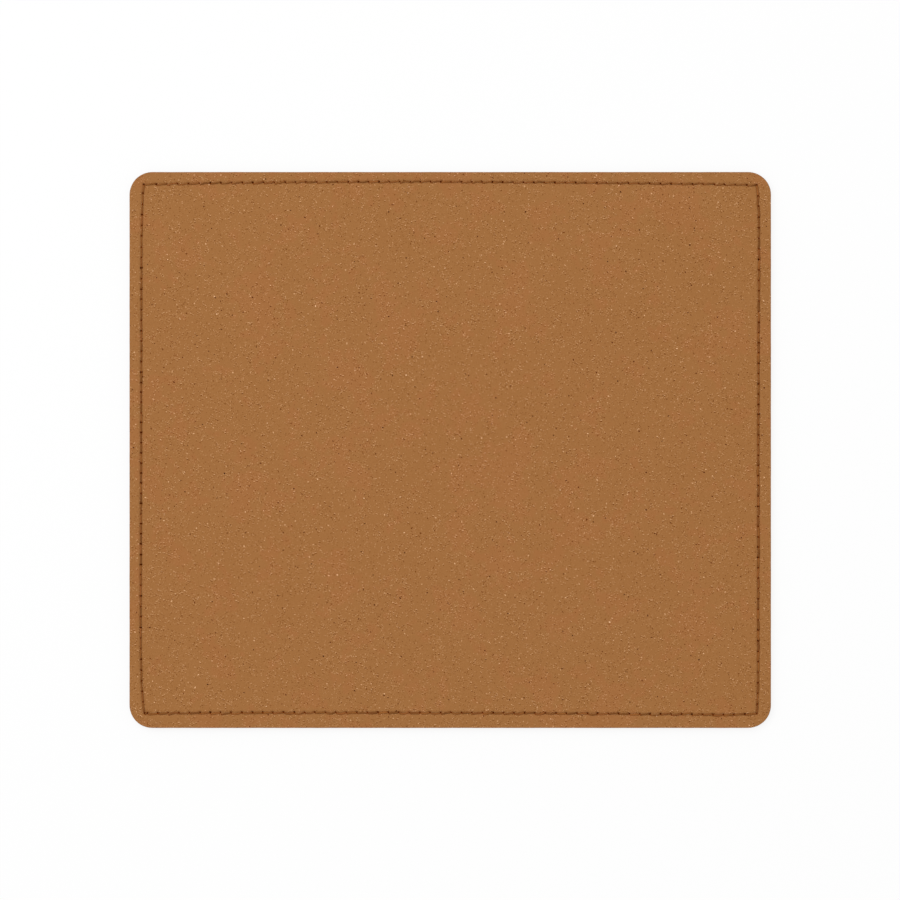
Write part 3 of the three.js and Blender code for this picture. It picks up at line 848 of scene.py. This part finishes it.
def needle_path(seam, sizes):
    """The path of the needle thread, stitch by stitch: from the foot of the loop in a hole up its right leg,
    over the leather, and down the left leg of the next hole's loop. A stitch that strays rides up the side of
    the groove.

    Returns points, side directions, half widths, half heights, phases and distances from the nearest hole.
    A loop turns the thread by half a turn, which the phase takes up.
    """
    count = len(seam.hole_s)
    radius = sizes.needle_thread / 2
    start = seam.hole_places()
    end = np.roll(start, -1, axis=0)
    length = np.linalg.norm(end - start, axis=1)
    ahead = (end - start) / length[:, None]
    left = np.stack([-ahead[:, 1], ahead[:, 0]], axis=1)
    lay = seam.lay(seam.hole_run, seam.hole_s)
    loose = run_values("loose", seam.hole_run)[:, None] * MM
    chance = np.random.default_rng(11)
    stray = loose * np.clip(chance.normal(size=lay.shape), -DRAW_LIMIT, DRAW_LIMIT)
    lift = 0.5 * sizes.groove_depth * (1 - np.exp(-(stray / sizes.groove_width) ** 2))
    leg, thin = LEG_SHIFT, LEG_SHARE * radius
    foot = NEEDLE_LOW.z + thin
    spread = sizes.bobbin_thread / 2 + thin + LOOP_PLAY
    crown = LEATHER_HIGH.z - sizes.groove_depth + radius
    sway = chance.normal(0, STITCH_SWAY, count)
    wider = chance.normal(0, STITCH_SPREAD, count)
    wider = np.clip(wider, -DRAW_LIMIT * STITCH_SPREAD, DRAW_LIMIT * STITCH_SPREAD)
    wide = radius * run_values("flat", seam.hole_run) * (1 + wider)
    first, middle, last = (lay + stray).T
    first_lift, middle_lift, last_lift = lift.T
    room = np.minimum(length / 4, STITCH_RISE)

    def climb(way, lying, raised):
        """Steps of every stitch from a loop up onto the leather, by its left leg if way is 1 and by its right
        leg if it is -1: distance from the hole, distance to the left, height, and half the width and the
        height of the thread."""
        return [
            (leg, way * 0.85 * spread, foot + 0.1 * MM, thin, thin),
            (leg, way * spread, BOBBIN_HIGH.z, thin, thin),
            (leg, 0.3 * lying + way * 0.3 * leg, crown - 0.75 * MM, thin, thin),
            (leg + 0.02 * MM, 0.5 * lying, crown - 0.34 * MM, thin, thin),
            (leg + 0.35 * room, lying, crown - 0.12 * MM + raised, 0.9 * wide, 0.9 * radius),
            (leg + 1.1 * room, 0.6 * lying + 0.4 * middle, crown - 0.03 * MM + raised, wide, radius),
        ]

    fall = [(length - along, *rest) for along, *rest in reversed(climb(1, last, last_lift))]
    top = (length / 2, middle, crown + sway + middle_lift, wide, radius)
    steps = [(0, 0, foot, thin, thin), *climb(-1, first, first_lift), top, *fall]
    rows = np.array([[np.broadcast_to(value, count) for value in step] for step in steps])
    along, aside, height, wide, high = rows.transpose(1, 2, 0)
    plan = start[:, None] + along[..., None] * ahead[:, None] + aside[..., None] * left[:, None]
    points = np.concatenate([plan, height[..., None]], axis=-1)
    flat_left = np.concatenate([left, np.zeros((count, 1))], axis=1)
    side = np.repeat(flat_left[:, None], len(steps), axis=1)
    up = np.array([0.0, 0.0, 1.0])
    side[:, 0] = up
    side[:, 1] += up
    side[:, -1] -= up
    phase = np.repeat(np.pi * np.arange(count), len(steps))
    from_hole = np.minimum(along, length[:, None] - along)
    # The two ends are cut off at the feet of the first hole.
    flat_rows = (values.ravel()[1:] for values in (wide, high, phase, from_hole))
    return points.reshape(-1, 3)[1:], side.reshape(-1, 3)[1:], *flat_rows


class MOUSEPAD_OT_seam(bpy.types.Operator):
    """Sew the border: the needle thread with a loop in every hole, and the bobbin thread through the loops"""

    bl_idname = "mousepad.seam"
    bl_label = "Sewn Border"

    def execute(self, context):
        settings = context.scene.mouse_pad
        sizes = settings.seam
        seam = Seam(settings.pad, sizes)
        material = sewing_thread(settings.colours)
        *course, from_hole = needle_path(seam, sizes)
        needle = thread_tube("needle_stitches", *course, sides=NEEDLE_SIDES)
        from_hole = np.concatenate([np.repeat(from_hole, NEEDLE_SIDES), [0, 0]])
        set_hole_distances(needle, from_hole)
        add_piece(needle, "needle_thread", "brown_thread", material)
        holes = seam.hole_places()
        ends = [holes[0] + (holes[k] - holes[0]) * BOBBIN_END for k in (1, -1)]
        route = np.concatenate([ends[:1], holes[1:], ends[1:]])
        # The CAD thread has three sides and one corner at its top, so its middle lies a third of the way up.
        level = (2 * BOBBIN_LOW.z + BOBBIN_HIGH.z) / 3
        path = np.concatenate([route, np.full((len(route), 1), level)], axis=1)
        side = np.tile([0.0, 0.0, 1.0], (len(path), 1))
        half = np.full(len(path), sizes.bobbin_thread / 2)
        bobbin = thread_tube("bobbin_line", path, side, half, half, np.zeros(len(path)), BOBBIN_SIDES)
        set_hole_distances(bobbin, np.full(len(bobbin.vertices), np.inf))
        add_piece(bobbin, "bobbin_thread", "brown_thread", material)
        return {"FINISHED"}


def white_rays(tree):
    """1 for rays that show the ground plain white, to the eye or in gloss or glass, and 0 for other rays."""
    rays = add_node(tree, "LightPath")
    seen = maths(tree, "ADD", rays["Is Camera Ray"], rays["Is Glossy Ray"], clamp=True)
    return maths(tree, "ADD", seen, rays["Is Transmission Ray"], clamp=True)


def floor_material(white):
    """A pale floor that keeps a soft shadow: plain white for the eye and for reflections by a share, and a
    matt pale surface for the rest and for the light that it gives back."""
    material = bpy.data.materials.new("pale_floor")
    tree = empty_tree(material)
    share = maths(tree, "MULTIPLY", white_rays(tree), white)
    matt = add_node(tree, "BsdfDiffuse", {"Color": FLOOR_COLOUR})[0]
    plain = add_node(tree, "Emission", {"Color": WHITE})[0]
    mixed = add_node(tree, "MixShader", {0: share, 1: matt, 2: plain})
    add_node(tree, "OutputMaterial", {"Surface": mixed[0]})
    return material


def studio_world(level):
    """An even sky: a level for light, and plain white for the eye and for reflections."""
    world = bpy.data.worlds.new("even_sky")
    tree = empty_tree(world)
    strength = maths(tree, "MULTIPLY_ADD", white_rays(tree), 1 - level, level)
    sky = add_node(tree, "Background", {"Color": WHITE, "Strength": strength})
    add_node(tree, "OutputWorld", {"Surface": sky[0]})
    return world


class MOUSEPAD_OT_studio(bpy.types.Operator):
    """Set up the floor, the soft light and the camera that looks straight down"""

    bl_idname = "mousepad.studio"
    bl_label = "Studio"

    def execute(self, context):
        scene = context.scene
        studio = scene.mouse_pad.studio
        scene.view_settings.view_transform = "Standard"
        scene.world = studio_world(studio.sky_level)

        floor = bpy.data.meshes.new("floor")
        corners = [(x * FLOOR_HALF, y * FLOOR_HALF, 0) for x, y in ((-1, -1), (1, -1), (1, 1), (-1, 1))]
        floor.from_pydata(corners, [], [(0, 1, 2, 3)])
        floor.materials.append(floor_material(studio.floor_white))
        ground = add_object("floor", floor)

        lamp = bpy.data.lights.new("key_light", "AREA")
        lamp.energy = studio.key_power
        lamp.size = KEY_SIZE
        key = add_object("key_light", lamp)
        key.location = KEY_PLACE
        key.rotation_euler = (-KEY_PLACE).to_track_quat("-Z", "Y").to_euler()

        lens = bpy.data.cameras.new("camera")
        lens.lens = lens.sensor_width * studio.camera_height / studio.picture_width
        camera = add_object("camera", lens)
        camera.location = (studio.camera_shift, 0, LEATHER_HIGH.z + studio.camera_height)
        scene.camera = camera
        return {"FINISHED"}


class MousePadSettings(bpy.types.PropertyGroup):
    """Everything that can be set."""

    pad: PointerProperty(type=PadSizes, name="Sheets", description="Sizes of the sheets")
    seam: PointerProperty(type=SeamSizes, name="Seam", description="Sizes of the seam")
    colours: PointerProperty(type=PadColours, name="Colours", description="Colours of the pad")
    studio: PointerProperty(type=StudioSettings, name="Studio", description="Camera, lights and floor")


class MOUSEPAD_PT_sidebar(bpy.types.Panel):
    """The pad's pieces and settings"""

    bl_label = "Mouse Pad"
    bl_idname = "MOUSEPAD_PT_sidebar"
    bl_space_type = "VIEW_3D"
    bl_region_type = "UI"
    bl_category = "Mouse Pad"

    def draw(self, context):
        layout = self.layout
        for operator in OPERATORS:
            layout.operator(operator.bl_idname)
        settings = context.scene.mouse_pad
        for group in (settings.pad, settings.seam, settings.colours, settings.studio):
            box = layout.box()
            for name in group.__annotations__:
                box.prop(group, name)


OPERATORS = (MOUSEPAD_OT_studio, MOUSEPAD_OT_base, MOUSEPAD_OT_core, MOUSEPAD_OT_leather, MOUSEPAD_OT_seam)
CLASSES = (PadSizes, SeamSizes, PadColours, StudioSettings, MousePadSettings, *OPERATORS, MOUSEPAD_PT_sidebar)


def register():
    for cls in CLASSES:
        bpy.utils.register_class(cls)
    bpy.types.Scene.mouse_pad = PointerProperty(type=MousePadSettings)


def unregister():
    del bpy.types.Scene.mouse_pad
    for cls in reversed(CLASSES):
        bpy.utils.unregister_class(cls)


def main():
    """Build the pad in its studio."""
    register()
    bpy.ops.mousepad.studio()
    bpy.ops.mousepad.base()
    bpy.ops.mousepad.core()
    bpy.ops.mousepad.leather()
    bpy.ops.mousepad.seam()


if __name__ == "__main__":
    main()
